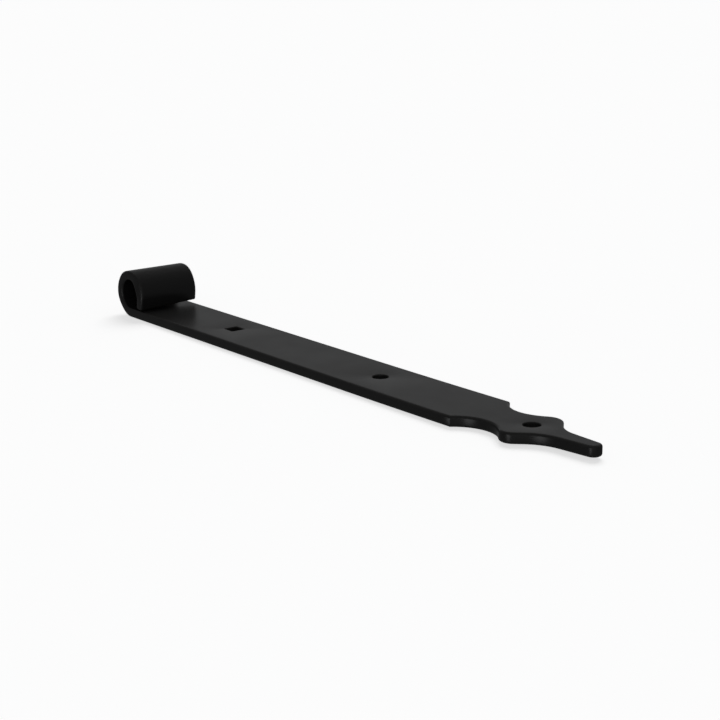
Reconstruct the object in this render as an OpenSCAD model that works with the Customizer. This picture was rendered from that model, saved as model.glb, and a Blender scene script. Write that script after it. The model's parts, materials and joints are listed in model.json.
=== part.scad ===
// Strap hinge leaf: one flat steel strap, rolled into an open eye at one end
// and cut to a lobed spear tip at the other. It lies on its flat back face.
// Origin: on the pin axis, at mid width. X runs from the eye to the tip.
// Y runs across the strap and is the pin axis. Z points away from the back face.
// Millimetres.

/* [Strap] */
// Width of the strap
strap_w = 35; // [30:1:50]
// Thickness of the strap and of the wall of the eye
strap_t = 5; // [4:0.5:6]
// Distance from the pin axis to the end of the tip
reach = 331; // [250:1:800]

/* [Eye] */
// Bore of the eye, for a pintle half a millimetre smaller
bore_d = 15.5; // [12:0.5:22]
// Angle past horizontal where the roll stops curving and runs straight
roll_past = 8; // [4:1:20]
// Gap between the end of the roll and the strap, at the near end of the eye
seam_gap_near = 0.2; // [0.1:0.1:2]
// The same gap at the far end of the eye, where the roll is slightly open
seam_gap_far = 2; // [0.5:0.1:3]

/* [Holes] */
// Side of the square hole, for the neck of a carriage bolt
square_hole_w = 7.5; // [6:0.1:10]
// Distance from the pin axis to the square hole
square_hole_x = 76; // [40:1:100]
// Diameter of the two round holes
round_hole_d = 7.5; // [5:0.1:10]
// Distance from the shoulders of the tip to the round hole in the lobe
lobe_hole_in = 31; // [27:1:35]
// Distance between the two round holes
round_pitch = 98; // [60:1:110]

/* [Tip] */
// Length of the tip, from its shoulders to its end
tip_len = 69; // [66:1:90]
// How far each notch cuts in from the side of the strap
notch_depth = 7.5; // [5:0.5:9]
// Radius of the notches
notch_r = 18; // [14:0.2:20]
// How far the lobe stays inside the sides of the strap
lobe_inset = 1.85; // [1:0.05:3]
// Radius of the two sides of the lobe
lobe_r = 6.2; // [5:0.1:7]
// Slope of the straight flanks behind the lobe
flank_angle = 45; // [40:1:50]
// Radius of the hollow between the lobe and the spear
throat_r = 21; // [16:1:22]
// Radius of the rounded end of the spear
spear_r = 3.6; // [2.5:0.1:4]
// Taper of each side of the spear
spear_taper = 4.5; // [2:0.5:6]

/* [Hidden] */
$fn = 96;
cut_over = 1;                                // how far cutters run past the faces they cut
lap = 0.02;                                  // how far arcs reach over their tangent neighbours
half_w = strap_w / 2;

// Eye
bore_r = bore_d / 2;
roll_r = bore_r + strap_t;
strap_top_z = -bore_r;
strap_back_z = -roll_r;
seam_mid = (seam_gap_near + seam_gap_far) / 2;
seam_skew = atan((seam_gap_far - seam_gap_near) / strap_w);
// Where the outer side of the straight end of the roll is cut off
seam_z = strap_top_z + seam_mid;
seam_x = (roll_r - lap + seam_z * sin(roll_past)) / cos(roll_past);

// Holes
lobe_hole_x = reach - tip_len + lobe_hole_in;
mid_hole_x = lobe_hole_x - round_pitch;

// Tip outline, upper half. Every arc is tangent to its neighbours, and the
// notch starts at the sharp shoulder.
function normal(angle) = [sin(angle), cos(angle)];         // outward, on a side falling by angle
function along(angle) = [cos(angle), -sin(angle)];         // towards the tip, on the same side
shoulder = [reach - tip_len, half_w];
notch_cy = half_w - notch_depth + notch_r;
notch_c = [shoulder.x + sqrt(notch_r ^ 2 - (notch_cy - half_w) ^ 2), notch_cy];
lobe_cy = half_w - lobe_inset - lobe_r;
lobe_c = [notch_c.x + sqrt((notch_r + lobe_r) ^ 2 - (notch_cy - lobe_cy) ^ 2), lobe_cy];
notch_end = lobe_c + (notch_c - lobe_c) * lobe_r / (notch_r + lobe_r);
flank_start = lobe_c + lobe_r * normal(flank_angle);
spear_c = [reach - spear_r - lap, 0];
spear_end = spear_c + spear_r * normal(spear_taper);
throat_offset = flank_start + throat_r * normal(flank_angle) - spear_end;
flank_len = (throat_offset * normal(spear_taper) - throat_r) / sin(flank_angle - spear_taper);
throat_c = flank_start + flank_len * along(flank_angle) + throat_r * normal(flank_angle);
throat_start = throat_c - throat_r * normal(flank_angle);
throat_end = throat_c - throat_r * normal(spear_taper);

// A disc that laps over the sides it is tangent to
module lapped_disc(centre, radius) {
    translate(centre) circle(r = radius + lap);
}

// Half of the outline of the flat strap, from the pin axis to the tip
module half_outline() {
    difference() {
        union() {
            polygon([[0, 0], [0, half_w], shoulder, notch_end, flank_start,
                     throat_start, throat_end, spear_end, spear_c]);
            lapped_disc(lobe_c, lobe_r);
        }
        lapped_disc(notch_c, notch_r);
        lapped_disc(throat_c, throat_r);
    }
}

module flat_strap() {
    translate([0, 0, strap_back_z])
        linear_extrude(height = strap_t)
            union() {
                half_outline();
                mirror([0, 1]) half_outline();
                lapped_disc(spear_c, spear_r);
            }
}

// Side view of one surface of the roll: a disc, with a straight side where the
// roll stops curving
module roll_disc(radius) {
    circle(r = radius);
    intersection() {
        rotate(-roll_past)
            translate([0, -roll_r])
                square([radius - lap, roll_r]);
        translate([0, -2 * roll_r])
            square([2 * roll_r, 2 * roll_r]);
    }
}

// Everything below the end of the roll and in front of the pin axis, under a
// plane that is tilted so that the gap opens to the far end
module seam_cut() {
    intersection() {
        translate([0, -strap_w, -2 * roll_r])
            cube([2 * roll_r, 2 * strap_w, 4 * roll_r]);
        translate([seam_x, 0, seam_z])
            rotate([seam_skew, 0, 0])
                rotate([0, roll_past, 0])
                    translate([-2 * roll_r, -strap_w, -2 * roll_r])
                        cube([4 * roll_r, 2 * strap_w, 2 * roll_r]);
    }
}

module roll() {
    difference() {
        rotate([90, 0, 0])
            linear_extrude(height = strap_w, center = true)
                difference() {
                    roll_disc(roll_r);
                    roll_disc(bore_r);
                }
        seam_cut();
    }
}

module through_hole(x) {
    translate([x, 0, strap_back_z - cut_over])
        linear_extrude(height = strap_t + 2 * cut_over)
            children();
}

module hinge_strap() {
    color("#232322")
        difference() {
            union() {
                flat_strap();
                roll();
            }
            through_hole(square_hole_x) square(square_hole_w, center = true);
            through_hole(mid_hole_x) circle(d = round_hole_d);
            through_hole(lobe_hole_x) circle(d = round_hole_d);
        }
}

hinge_strap();
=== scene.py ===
import bpy
import bmesh
import json
from math import atan2, cos, degrees, pi, radians, sin, sqrt
from mathutils import Matrix, Vector


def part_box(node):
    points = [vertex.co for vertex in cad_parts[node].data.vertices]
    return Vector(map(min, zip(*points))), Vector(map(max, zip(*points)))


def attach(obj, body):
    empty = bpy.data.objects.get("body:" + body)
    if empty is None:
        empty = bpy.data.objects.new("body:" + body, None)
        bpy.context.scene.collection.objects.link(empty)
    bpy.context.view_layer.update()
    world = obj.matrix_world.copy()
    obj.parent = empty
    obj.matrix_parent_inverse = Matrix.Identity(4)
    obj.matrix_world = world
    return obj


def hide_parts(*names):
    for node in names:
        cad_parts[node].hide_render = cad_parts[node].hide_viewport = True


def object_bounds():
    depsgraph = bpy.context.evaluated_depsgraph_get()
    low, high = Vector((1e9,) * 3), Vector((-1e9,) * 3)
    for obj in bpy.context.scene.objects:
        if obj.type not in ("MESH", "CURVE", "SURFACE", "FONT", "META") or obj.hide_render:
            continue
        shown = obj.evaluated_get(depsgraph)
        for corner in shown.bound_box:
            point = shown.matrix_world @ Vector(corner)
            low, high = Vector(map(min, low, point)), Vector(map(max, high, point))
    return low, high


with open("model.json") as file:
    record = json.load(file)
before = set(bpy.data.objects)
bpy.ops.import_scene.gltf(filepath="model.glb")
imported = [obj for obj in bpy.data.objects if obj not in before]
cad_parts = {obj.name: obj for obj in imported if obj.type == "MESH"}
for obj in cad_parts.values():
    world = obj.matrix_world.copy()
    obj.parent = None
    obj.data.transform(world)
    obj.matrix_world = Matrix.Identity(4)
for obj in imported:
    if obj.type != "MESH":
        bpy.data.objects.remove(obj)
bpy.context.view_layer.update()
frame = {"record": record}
mounts = {m["name"]: m for m in frame["record"]["mounts"]}
toMetres = 0.001                      # the leaf is modelled in millimetres and scaled once at the end
tiny = 1e-4                           # the same place, in millimetres
nearAxis = 0.01                       # how near the pin axis an edge of the section lies
upright = 0.5                         # a face whose normal rises less than this is a wall
flat = 0.9                            # and one that rises more than this is a flat
mergeGap = 0.002                      # points nearer than this are joined


def onlyVerts(geom):
    return [g for g in geom if isinstance(g, bmesh.types.BMVert)]


def onlyEdges(geom):
    return [g for g in geom if isinstance(g, bmesh.types.BMEdge)]


def onlyFaces(geom):
    return [g for g in geom if isinstance(g, bmesh.types.BMFace)]


def vertsOf(parts):
    return list({v for p in parts for v in p.verts})


def moveVerts(bm, verts, offset):
    bmesh.ops.translate(bm, verts=list(verts), vec=Vector(offset))


def openEdges(bm, test):
    return [e for e in bm.edges if e.is_boundary and all(test(v.co) for v in e.verts)]


def mirrored(bm, axis):
    everything = bm.verts[:] + bm.edges[:]
    bmesh.ops.mirror(bm, geom=everything, matrix=Matrix.Identity(4), merge_dist=tiny, axis=axis)


def limited(value):
    return min(1.0, max(0.0, value))


def roundSteps(radius, steps):
    # how far in and how far down each step of a quarter round goes
    at = [pi / 2 * k / steps for k in range(steps + 1)]
    inward = [radius * (1 - cos(a)) for a in at]
    upward = [radius * sin(a) for a in at]
    return [(inward[k + 1] - inward[k], upward[k + 1] - upward[k]) for k in range(steps)]


class Socket:
    # wraps a node's output so that Python's operators add Math nodes
    def __init__(self, tree, out):
        self.tree = tree
        self.out = out

    def math(self, operation, *others):
        node = self.tree.nodes.new("ShaderNodeMath")
        node.operation = operation
        for slot, value in enumerate((self,) + others):
            if isinstance(value, Socket):
                self.tree.links.new(value.out, node.inputs[slot])
            else:
                node.inputs[slot].default_value = value
        return Socket(self.tree, node.outputs[0])

    def flipped(self, operation, other):
        node = self.tree.nodes.new("ShaderNodeMath")
        node.operation = operation
        node.inputs[0].default_value = other
        self.tree.links.new(self.out, node.inputs[1])
        return Socket(self.tree, node.outputs[0])

    def __add__(self, other):
        return self.math("ADD", other)

    def __radd__(self, other):
        return self.math("ADD", other)

    def __sub__(self, other):
        return self.math("SUBTRACT", other)

    def __rsub__(self, other):
        return self.flipped("SUBTRACT", other)

    def __mul__(self, other):
        return self.math("MULTIPLY", other)

    def __rmul__(self, other):
        return self.math("MULTIPLY", other)

    def clamp(self):
        return self.math("MAXIMUM", 0.0).math("MINIMUM", 1.0)


class Shader:
    # the node tree of one material or of the world
    def __init__(self, block, kind="Material"):
        self.block = block
        self.kind = kind
        block.use_nodes = True
        self.tree = block.node_tree
        self.tree.nodes.clear()

    def node(self, kind, settings=None, out=0, **inputs):
        made = self.tree.nodes.new(kind)
        for name, value in (settings or {}).items():
            setattr(made, name, value)
        for name, value in inputs.items():
            slot = made.inputs[int(name[3:])] if name[:3] == "at_" else made.inputs[name.replace("_", " ")]
            if isinstance(value, Socket):
                self.tree.links.new(value.out, slot)
            else:
                slot.default_value = value
        return Socket(self.tree, made.outputs[out])

    def mix(self, factor, first, second):
        return self.node("ShaderNodeMix", {"data_type": "RGBA"}, 2, at_0=factor, at_6=first, at_7=second)

    def finish(self, surface):
        out = self.tree.nodes.new("ShaderNodeOutput" + self.kind)
        self.tree.links.new(surface.out, out.inputs["Surface"])
        return self.block


cameraValues = {
    "place": (0.7255, -0.4315, 0.1823),
    "azimuth": 51.652,
    "elevation": 14.915,
    "roll": -0.278,
    "lens": 77.658,
    "sensor": 36.0,
    "nearest": 0.01,
    "farthest": 200.0,
}


def makeCamera():
    data = bpy.data.cameras.new("camera")
    data.lens = cameraValues["lens"]
    data.sensor_width = cameraValues["sensor"]
    data.clip_start = cameraValues["nearest"]
    data.clip_end = cameraValues["farthest"]
    camera = bpy.data.objects.new("camera", data)
    camera.location = cameraValues["place"]
    turn = Matrix.Rotation(radians(cameraValues["azimuth"]), 4, "Z")
    turn @= Matrix.Rotation(radians(90 - cameraValues["elevation"]), 4, "X")
    turn @= Matrix.Rotation(radians(cameraValues["roll"]), 4, "Z")
    camera.rotation_euler = turn.to_euler()
    bpy.context.scene.collection.objects.link(camera)
    bpy.context.scene.camera = camera


makeCamera()
print("camera ready")


leafValues = {
    "rim": 1.14,               # rounding of the long edges and of the tip, mm
    "rimSteps": 5,
    "holdLoop": 0.35,          # narrow flat loop that keeps the shading of the flats even
    "holeRim": 0.55,           # rounding of the holes' rims
    "holeRimSteps": 4,
    "holeSegments": 64,
    "squareSide": 7.5,
    "squareCorner": 0.5,
    "cornerSteps": 6,
    "tipLength": 69.0,         # from the shoulders to the end
    "notchDepth": 7.5,
    "notchRadius": 18.0,
    "lobeInset": 1.85,
    "lobeRadius": 6.2,
    "flankAngle": 45.0,
    "throatRadius": 21.0,
    "spearRadius": 3.6,
    "spearTaper": 4.5,
    "arcStep": 0.8,            # length of the short edges that make up the arcs
    "sideStep": 7.0,
    "rollSteps": 120,
    "rollPast": 8.0,           # degrees past horizontal where the roll runs straight
    "gapNear": 0.2,            # gap under the end of the roll at the near end of the eye
    "gapFar": 2.0,
    "endRim": 0.9,
    "acrossCuts": 13,
    "lobeSkew": 1.8,           # how much nearer to the end the far side of the lobe is cut
    "skewBack": 10.0,          # the skew starts this far behind the middle of the lobe and ends this far on
    "skewOn": 26.0,
    "sweepIn": 0.7,            # how far the outside lies inside a true circle, low at the back
    "sweepArc": (-180, -90),   # where, in degrees round the pin axis from the front
    "frontBulge": 0.85,        # the bent front wall bulges inside and shrinks outside, at the near end
    "bulgeArc": (-25, 75),
    "topFlare": 0.55,          # the outer rim spreads a little at the top of both ends
    "flareArcNear": (55, 150),
    "flareArcFar": (20, 130),
    "endPower": 4,             # how sharply bulge and flare fade away from the ends
    "bowStart": 180.0,         # the strap bows up very slightly from here to the end of its tip
    "bowRise": 1.29,
    "rimAngles": (3.4, 13.8),  # bend between faces, degrees, where a rim begins and where it is full
}


def leafSizes():
    low, high = [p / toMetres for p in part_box("hinge_strap")]
    sizes = dict(leafValues)
    sizes["halfWidth"] = high.y
    sizes["reach"] = high.x
    sizes["outer"] = high.z
    sizes["bore"] = mounts["eye"]["dims"]["r_mm"]
    sizes["backZ"] = low.z
    sizes["thick"] = sizes["outer"] - sizes["bore"]
    return sizes


def direction(angle):
    return Vector((cos(angle), sin(angle), 0))


def tipPoints(s):
    # centres and ends of the arcs of the tip; every arc is tangent to its neighbours
    flank, taper = radians(s["flankAngle"]), radians(s["spearTaper"])
    flankOut, flankAlong = direction(pi / 2 - flank), direction(-flank)
    taperOut = direction(pi / 2 - taper)
    p = {"shoulder": Vector((s["reach"] - s["tipLength"], s["halfWidth"], 0))}
    notchY = s["halfWidth"] - s["notchDepth"] + s["notchRadius"]
    reachIn = sqrt(s["notchRadius"] ** 2 - (notchY - s["halfWidth"]) ** 2)
    p["notch"] = Vector((p["shoulder"].x + reachIn, notchY, 0))
    lobeY = s["halfWidth"] - s["lobeInset"] - s["lobeRadius"]
    apart = s["notchRadius"] + s["lobeRadius"]
    p["lobe"] = Vector((p["notch"].x + sqrt(apart ** 2 - (notchY - lobeY) ** 2), lobeY, 0))
    p["notchEnd"] = p["lobe"] + (p["notch"] - p["lobe"]) * s["lobeRadius"] / apart
    p["flankStart"] = p["lobe"] + flankOut * s["lobeRadius"]
    p["spear"] = Vector((s["reach"] - s["spearRadius"], 0, 0))
    p["spearEnd"] = p["spear"] + taperOut * s["spearRadius"]
    offset = p["flankStart"] + flankOut * s["throatRadius"] - p["spearEnd"]
    length = (offset.dot(taperOut) - s["throatRadius"]) / sin(flank - taper)
    p["throat"] = p["flankStart"] + flankAlong * length + flankOut * s["throatRadius"]
    p["throatStart"] = p["throat"] - flankOut * s["throatRadius"]
    p["throatEnd"] = p["throat"] - taperOut * s["throatRadius"]
    p["tipEnd"] = Vector((s["reach"], 0, 0))
    return p


def lineTo(bm, start, place, step):
    # a straight chain of edges from a vertex to a place
    gap = place - start.co
    count = max(1, round(gap.length / step))
    for _ in range(count):
        made = bmesh.ops.extrude_vert_indiv(bm, verts=[start])
        start = made["verts"][0]
        start.co += gap / count
    return start


def arcTo(bm, start, centre, place, step):
    # a chain of edges round a centre, the short way, from a vertex to a place
    first, last = start.co - centre, place - centre
    turn = atan2(first.x * last.y - first.y * last.x, first.x * last.x + first.y * last.y)
    count = max(2, round(abs(turn) * first.length / step))
    made = bmesh.ops.spin(bm, geom=[start], cent=centre, axis=(0, 0, 1), angle=turn, steps=count)
    return onlyVerts(made["geom_last"])[0]


def leafOutline(bm, s):
    p = tipPoints(s)
    step = s["arcStep"]
    start = bm.verts.new((0, 0, 0))
    at = lineTo(bm, start, Vector((0, s["halfWidth"], 0)), s["halfWidth"] / (s["acrossCuts"] // 2 + 1))
    at = lineTo(bm, at, p["shoulder"], s["sideStep"])
    at = arcTo(bm, at, p["notch"], p["notchEnd"], step)
    at = arcTo(bm, at, p["lobe"], p["flankStart"], step)
    at = lineTo(bm, at, p["throatStart"], step * 2)
    at = arcTo(bm, at, p["throat"], p["throatEnd"], step)
    at = lineTo(bm, at, p["spearEnd"], step * 3)
    at = arcTo(bm, at, p["spear"], p["tipEnd"], step / 2)
    at.co.y = 0
    mirrored(bm, "Y")


def holePlaces():
    # (x, shape) of the holes, from the mounts
    square = Vector(mounts["square_bolt_hole"]["pos_m"]) / toMetres
    middle = Vector(mounts["round_bolt_holes"]["pos_m"]) / toMetres
    dims = mounts["round_bolt_holes"]["dims"]
    half = dims["spacing_x_mm"] / 2
    return [(square.x, "square"), (middle.x - half, "round"), (middle.x + half, "round")]


def squareLoop(bm, half, corner, steps):
    # a quarter of a square with rounded corners, mirrored twice
    start = bm.verts.new((half, 0, 0))
    centre = Vector((half - corner, half - corner, 0))
    at = lineTo(bm, start, Vector((half, half - corner, 0)), half)
    made = bmesh.ops.spin(bm, geom=[at], cent=centre, axis=(0, 0, 1), angle=pi / 2, steps=steps)
    at = onlyVerts(made["geom_last"])[0]
    lineTo(bm, at, Vector((0, half, 0)), half)
    mirrored(bm, "X")
    mirrored(bm, "Y")


def holeLoop(s, shape, spread):
    # the outline of a hole, wider by spread, as its own small mesh round the origin
    loop = bmesh.new()
    if shape == "square":
        squareLoop(loop, s["squareSide"] / 2 + spread, s["squareCorner"] + spread, s["cornerSteps"])
    else:
        radius = mounts["round_bolt_holes"]["dims"]["hole_r_mm"] + spread
        bmesh.ops.create_circle(loop, segments=s["holeSegments"], radius=radius)
    return loop


def addLoop(bm, loop, x, z):
    bmesh.ops.translate(loop, verts=loop.verts[:], vec=(x, 0, z))
    kept = bpy.data.meshes.new("loop")
    loop.to_mesh(kept)
    before = set(bm.edges)
    bm.from_mesh(kept)
    bpy.data.meshes.remove(kept)
    loop.free()
    return [e for e in bm.edges if e not in before]


def stepIn(bm, faces, rounds, up):
    # rounds the rim of a flat region: each step goes in by an even inset, then up
    for inward, upward in rounds:
        bmesh.ops.inset_region(bm, faces=faces, thickness=inward, use_even_offset=True, use_boundary=False)
        moveVerts(bm, vertsOf(faces), up * upward)


def flatStrap(bm, s):
    # the flat of the strap with its tip, open at the pin axis and at the holes
    leafOutline(bm, s)
    for x, shape in holePlaces():
        addLoop(bm, holeLoop(s, shape, s["holeRim"]), x, 0)
    bmesh.ops.triangle_fill(bm, use_beauty=True, use_dissolve=False, edges=bm.edges[:])
    bmesh.ops.recalc_face_normals(bm, faces=bm.faces[:])
    for f in bm.faces:
        if f.normal.z > 0:
            f.normal_flip()
    made = bmesh.ops.extrude_face_region(bm, geom=bm.faces[:])
    top = onlyFaces(made["geom"])
    moveVerts(bm, vertsOf(bm.faces), (0, 0, s["backZ"] + s["rim"]))
    moveVerts(bm, vertsOf(top), (0, 0, s["thick"] - 2 * s["rim"]))
    bmesh.ops.recalc_face_normals(bm, faces=bm.faces[:])

    holes = [Vector((x, 0)) for x, _ in holePlaces()]

    def notWanted(f):
        # the wall across the pin axis, and the sharp walls of the holes
        if abs(f.normal.z) > upright:
            return False
        middle = f.calc_center_median()
        return abs(middle.x) < tiny or any((middle.xy - hole).length < s["squareSide"] for hole in holes)

    bmesh.ops.delete(bm, geom=[f for f in bm.faces if notWanted(f)], context="FACES")
    rounds = roundSteps(s["rim"], s["rimSteps"]) + [(s["holdLoop"], 0)]
    for side in (1, -1):
        flats = [f for f in bm.faces if f.normal.z * side > flat]
        stepIn(bm, flats, rounds, Vector((0, 0, side)))


def throughHoles(bm, s):
    # the rounded rims and walls of the holes, from flat to flat
    rounds = roundSteps(s["holeRim"], s["holeRimSteps"])
    topZ = s["backZ"] + s["thick"]
    for x, shape in holePlaces():
        profile = []
        spread, z = s["holeRim"], topZ
        for inward, upward in reversed(rounds):
            # these start flat and end upright
            spread, z = spread - inward, z - upward
            profile.append((max(spread, 0), z))
        spread, z = 0.0, s["backZ"] + s["holeRim"]
        profile.append((spread, z))
        for inward, upward in rounds:
            spread, z = spread + inward, z - upward
            profile.append((spread, z))
        ring = addLoop(bm, holeLoop(s, shape, s["holeRim"]), x, topZ)
        for spread, z in profile:
            lower = addLoop(bm, holeLoop(s, shape, spread), x, z)
            bmesh.ops.bridge_loops(bm, edges=ring + lower)
            ring = lower
    bmesh.ops.remove_doubles(bm, verts=bm.verts[:], dist=mergeGap)


def rollEye(bm, s):
    # the section at the pin axis is swept round it, then runs straight to the cut end
    section = openEdges(bm, lambda co: abs(co.x) < nearAxis)
    past = radians(s["rollPast"])
    turn = radians(270 + s["rollPast"])
    made = bmesh.ops.spin(bm, geom=vertsOf(section) + section, cent=(0, 0, 0), axis=(0, 1, 0),
                          angle=turn, steps=s["rollSteps"])
    last = onlyEdges(made["geom_last"])
    down = Vector((-sin(past), 0, -cos(past)))
    outward = Vector((cos(past), 0, -sin(past)))
    across = Vector((0, s["halfWidth"] * 2, s["gapFar"] - s["gapNear"])).normalized()
    normal = across.cross(outward).normalized()
    if normal.z > 0:
        normal = -normal
    middle = -s["bore"] + (s["gapNear"] + s["gapFar"]) / 2
    place = Vector(((s["outer"] + middle * sin(past)) / cos(past), 0, middle))
    made = bmesh.ops.extrude_edge_only(bm, edges=last)
    end = onlyVerts(made["geom"])
    place -= normal * s["endRim"]
    for v in end:
        v.co += down * ((place - v.co).dot(normal) / down.dot(normal))
    cap = onlyFaces(bmesh.ops.contextual_create(bm, geom=onlyEdges(made["geom"]))["faces"])
    stepIn(bm, cap, roundSteps(s["endRim"], s["rimSteps"]), normal)
    bmesh.ops.remove_doubles(bm, verts=bm.verts[:], dist=mergeGap)


def window(value, first, last):
    # rises smoothly from 0 at first to 1 half way and back to 0 at last
    return sin(pi * limited((value - first) / (last - first))) ** 2


def shapeEye(bm, s):
    # what rolling a thick bar does to its section; the strap itself is left as it is
    pastEye = s["outer"] + 1
    strapTop = -s["bore"] + 0.05
    for v in bm.verts:
        if v.co.x > pastEye or (v.co.x > 0 and v.co.z < strapTop):
            continue
        angle = degrees(atan2(v.co.z, v.co.x))
        radius = sqrt(v.co.x ** 2 + v.co.z ** 2)
        out = limited((radius - s["bore"]) / s["thick"])
        toEnd = abs(v.co.y / s["halfWidth"]) ** s["endPower"]
        inward = s["sweepIn"] * window(angle, *s["sweepArc"]) * out
        v.co.x *= 1 - inward / radius
        v.co.z *= 1 - inward / radius
        if v.co.y < 0:
            v.co.y -= s["frontBulge"] * window(angle, *s["bulgeArc"]) * (1 - 2 * out) * toEnd
            v.co.y -= s["topFlare"] * window(angle, *s["flareArcNear"]) * out * toEnd
        else:
            v.co.y += s["topFlare"] * window(angle, *s["flareArcFar"]) * out * toEnd


def skewLobe(bm, s):
    middle = tipPoints(s)["lobe"].x
    for v in bm.verts:
        weight = window(v.co.x, middle - s["skewBack"], middle + s["skewOn"])
        v.co.x += s["lobeSkew"] * weight * max(0.0, v.co.y / s["halfWidth"])


def bowTip(bm, s):
    span = s["reach"] - s["bowStart"]
    for v in bm.verts:
        along = max(0.0, (v.co.x - s["bowStart"]) / span)
        v.co.z += s["bowRise"] * along ** 2


def markRims(mesh, s):
    # 1 on rounded rims, 0 on flats, for the finish
    first, full = [radians(a) for a in s["rimAngles"]]
    bm = bmesh.new()
    bm.from_mesh(mesh)
    sharp = []
    for v in bm.verts:
        bend = max(e.calc_face_angle(0.0) for e in v.link_edges)
        sharp.append(limited((bend - first) / (full - first)))
    bm.free()
    rim = mesh.attributes.new("rim", "FLOAT", "POINT")
    rim.data.foreach_set("value", sharp)


def makeLeaf():
    s = leafSizes()
    bm = bmesh.new()
    flatStrap(bm, s)
    throughHoles(bm, s)
    rollEye(bm, s)
    shapeEye(bm, s)
    skewLobe(bm, s)
    bowTip(bm, s)
    bmesh.ops.recalc_face_normals(bm, faces=bm.faces[:])
    loose = [e for e in bm.edges if not e.is_manifold]
    print("leaf:", len(bm.verts), "points,", len(bm.faces), "faces, open edges", len(loose))
    bmesh.ops.scale(bm, vec=(toMetres,) * 3, verts=bm.verts[:])
    mesh = bpy.data.meshes.new("strapLeaf")
    bm.to_mesh(mesh)
    bm.free()
    markRims(mesh, s)
    mesh.shade_smooth()
    leaf = bpy.data.objects.new("strapLeaf", mesh)
    bpy.context.scene.collection.objects.link(leaf)
    return leaf


coatValues = {
    "base": (0.0240, 0.0233, 0.0229, 1.0),
    "worn": (0.052, 0.050, 0.048, 1.0),   # where the coat is thin over a rim
    "wearShare": 0.8,
    "wearScale": 60.0,                    # patches of wear and of gloss, per metre
    "wearGain": 1.4,                      # how strongly the patches stand out
    "wearFrom": 0.3,                      # how much of a rim shows no wear
    "roughness": (0.27, 0.37),            # least and most
    "rimRoughness": -0.03,                # rims are rubbed a little smoother
    "peelScale": 900.0,                   # orange peel, per metre
    "peelHeight": 0.00002,
    "peelStrength": 0.35,
    "bend": 1.5,                          # refractive index
}


def powderCoat():
    values = coatValues
    smooth, dull = values["roughness"]
    sh = Shader(bpy.data.materials.new("blackPowderCoat"))
    place = sh.node("ShaderNodeTexCoord", None, 3)
    peel = sh.node("ShaderNodeTexNoise", None, 0, Vector=place, Scale=values["peelScale"], Detail=2.0,
                   Roughness=0.5)
    broad = sh.node("ShaderNodeTexNoise", None, 0, Vector=place, Scale=values["wearScale"], Detail=3.0,
                    Roughness=0.5)
    rim = sh.node("ShaderNodeAttribute", {"attribute_name": "rim"}, 2)
    wear = (rim * (broad * values["wearGain"] - values["wearFrom"])).clamp()
    colour = sh.mix(wear * values["wearShare"], values["base"], values["worn"])
    rough = broad * (dull - smooth) + smooth + wear * values["rimRoughness"]
    bump = sh.node("ShaderNodeBump", None, 0, Strength=values["peelStrength"], Distance=values["peelHeight"],
                   Height=peel)
    surface = sh.node("ShaderNodeBsdfPrincipled", None, 0, Base_Color=colour, Roughness=rough, Normal=bump,
                      IOR=values["bend"])
    return sh.finish(surface)


leaf = makeLeaf()
leaf.data.materials.append(powderCoat())
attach(leaf, "root")
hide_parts("hinge_strap")
print("leaf ready")


studioValues = {
    "floorSize": 60.0,
    "floorShade": (0.90, 0.90, 0.90, 1.0),
    "floorGlow": 0.665,
    "floorGap": 0.00005,                  # just clear of the back face
    "keyPower": 0.95,
    "keySpread": 40.0,
    "keyTurn": (-28.0, -26.0, 0.0),
    "roomShade": (0.98, 0.99, 1.0, 1.0),
    "room": 0.095,                        # brightness of the room all round
    "backdrop": 0.97,                     # how bright the room itself looks beyond the floor
    "screens": [                          # soft panels: direction, brightness, where they start to fade in
        ((-0.75, 0.61, 0.10), 0.13, 0.76),
        ((0.72, -0.66, 0.12), 0.10, 0.75),
        ((0.14, -0.97, -0.16), 1.3, 0.955),
    ],
}


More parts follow.
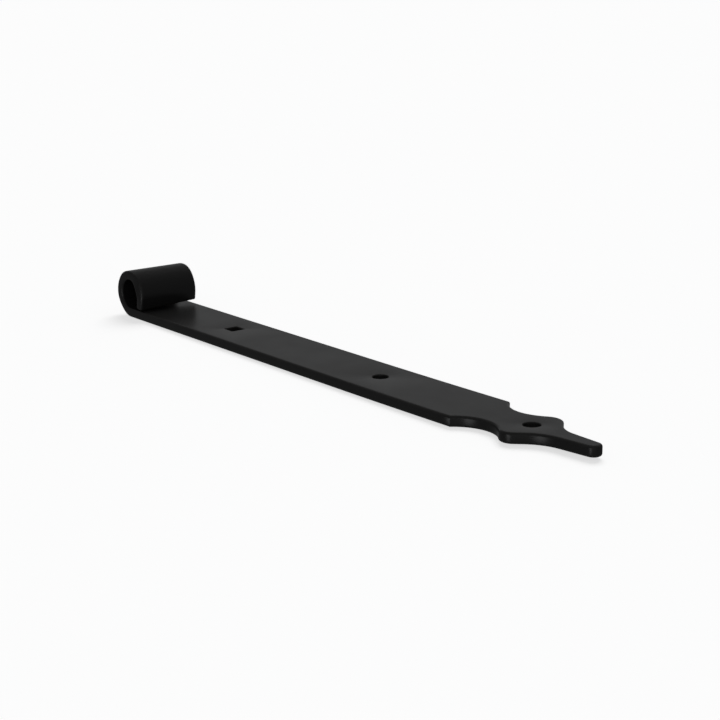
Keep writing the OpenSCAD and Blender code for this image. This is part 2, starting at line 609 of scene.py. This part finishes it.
def makeFloor():
    low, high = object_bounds()
    bm = bmesh.new()
    bmesh.ops.create_grid(bm, x_segments=1, y_segments=1, size=studioValues["floorSize"] / 2)
    bmesh.ops.translate(bm, verts=bm.verts[:], vec=(0, 0, low.z - studioValues["floorGap"]))
    mesh = bpy.data.meshes.new("floor")
    bm.to_mesh(mesh)
    bm.free()
    sh = Shader(bpy.data.materials.new("paleFloor"))
    surface = sh.node("ShaderNodeBsdfPrincipled", None, 0, Base_Color=studioValues["floorShade"],
                      Roughness=1.0, Specular_IOR_Level=0.0, Emission_Color=(1.0, 1.0, 1.0, 1.0),
                      Emission_Strength=studioValues["floorGlow"])
    mesh.materials.append(sh.finish(surface))
    floor = bpy.data.objects.new("floor", mesh)
    bpy.context.scene.collection.objects.link(floor)
    floor.visible_glossy = False
    floor.visible_diffuse = False


def makeSun(name, shiny):
    lamp = bpy.data.lights.new(name, "SUN")
    lamp.energy = studioValues[name + "Power"]
    lamp.angle = radians(studioValues[name + "Spread"])
    holder = bpy.data.objects.new(name, lamp)
    holder.rotation_euler = [radians(a) for a in studioValues[name + "Turn"]]
    holder.visible_glossy = shiny
    bpy.context.scene.collection.objects.link(holder)


def makeRoom():
    world = bpy.data.worlds.new("room")
    sh = Shader(world, "World")
    place = sh.node("ShaderNodeTexCoord", None, 0)
    light = studioValues["room"]
    for side, bright, edge in studioValues["screens"]:
        toward = sh.node("ShaderNodeVectorMath", {"operation": "DOT_PRODUCT"}, 1, at_0=place,
                         at_1=Vector(side).normalized())
        fade = sh.node("ShaderNodeMapRange", {"interpolation_type": "SMOOTHSTEP"}, 0, Value=toward,
                       From_Min=edge, To_Max=bright)
        light = fade + light
    seen = sh.node("ShaderNodeLightPath", None, 0)
    light = light + seen * (studioValues["backdrop"] - light)
    sh.finish(sh.node("ShaderNodeBackground", None, 0, Color=studioValues["roomShade"], Strength=light))
    bpy.context.scene.world = world
    bpy.context.scene.view_settings.view_transform = "Standard"


makeFloor()
makeSun("key", False)
makeRoom()
print("studio ready")
